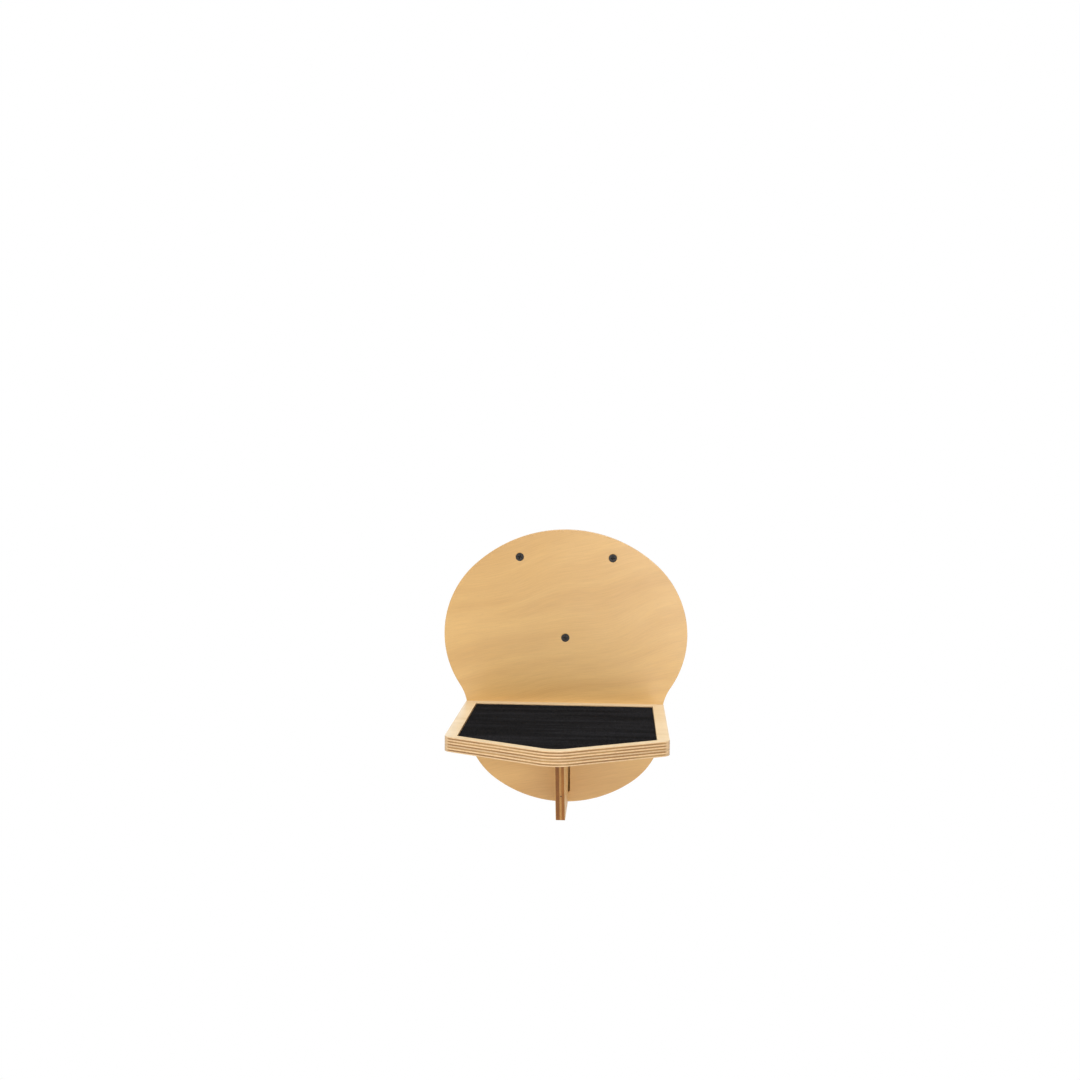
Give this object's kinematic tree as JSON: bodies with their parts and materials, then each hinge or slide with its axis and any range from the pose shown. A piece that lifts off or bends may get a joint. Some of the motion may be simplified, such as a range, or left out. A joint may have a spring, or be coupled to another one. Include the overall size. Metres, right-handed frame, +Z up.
{
  "type": "cat step",
  "caption": "Wall-mounted climbing step for cats: a pointed plywood shelf with an inset carpet, carried by a rounded two-lobed wall plate and an upright fin below.",
  "frame": {"origin": "centre of the circle of the wall-screw holes, on the face of the plate that meets the wall", "axes": "+Z up; +Y into the wall, so the shelf points along -Y; +X to the right for someone who faces the wall"},
  "size_m": [0.272, 0.273, 0.3065],
  "materials": {
    "birch_plywood": "clear satin varnish",
    "carpet": "short ribbed pile",
    "tape": "matt",
    "zinc_screws": "zinc plated",
    "beech_dowels": "bare",
    "black_screws": "black phosphate"
  },
  "bodies": {
    "root": {"wall_plate": "birch_plywood", "shelf_board": "birch_plywood", "support_fin": "birch_plywood", "carpet_mat": "carpet", "mat_tape_strips": "tape", "shelf_screws": "zinc_screws", "shelf_dowels": "beech_dowels", "fin_screws": "zinc_screws"}
  },
  "joints": []
}
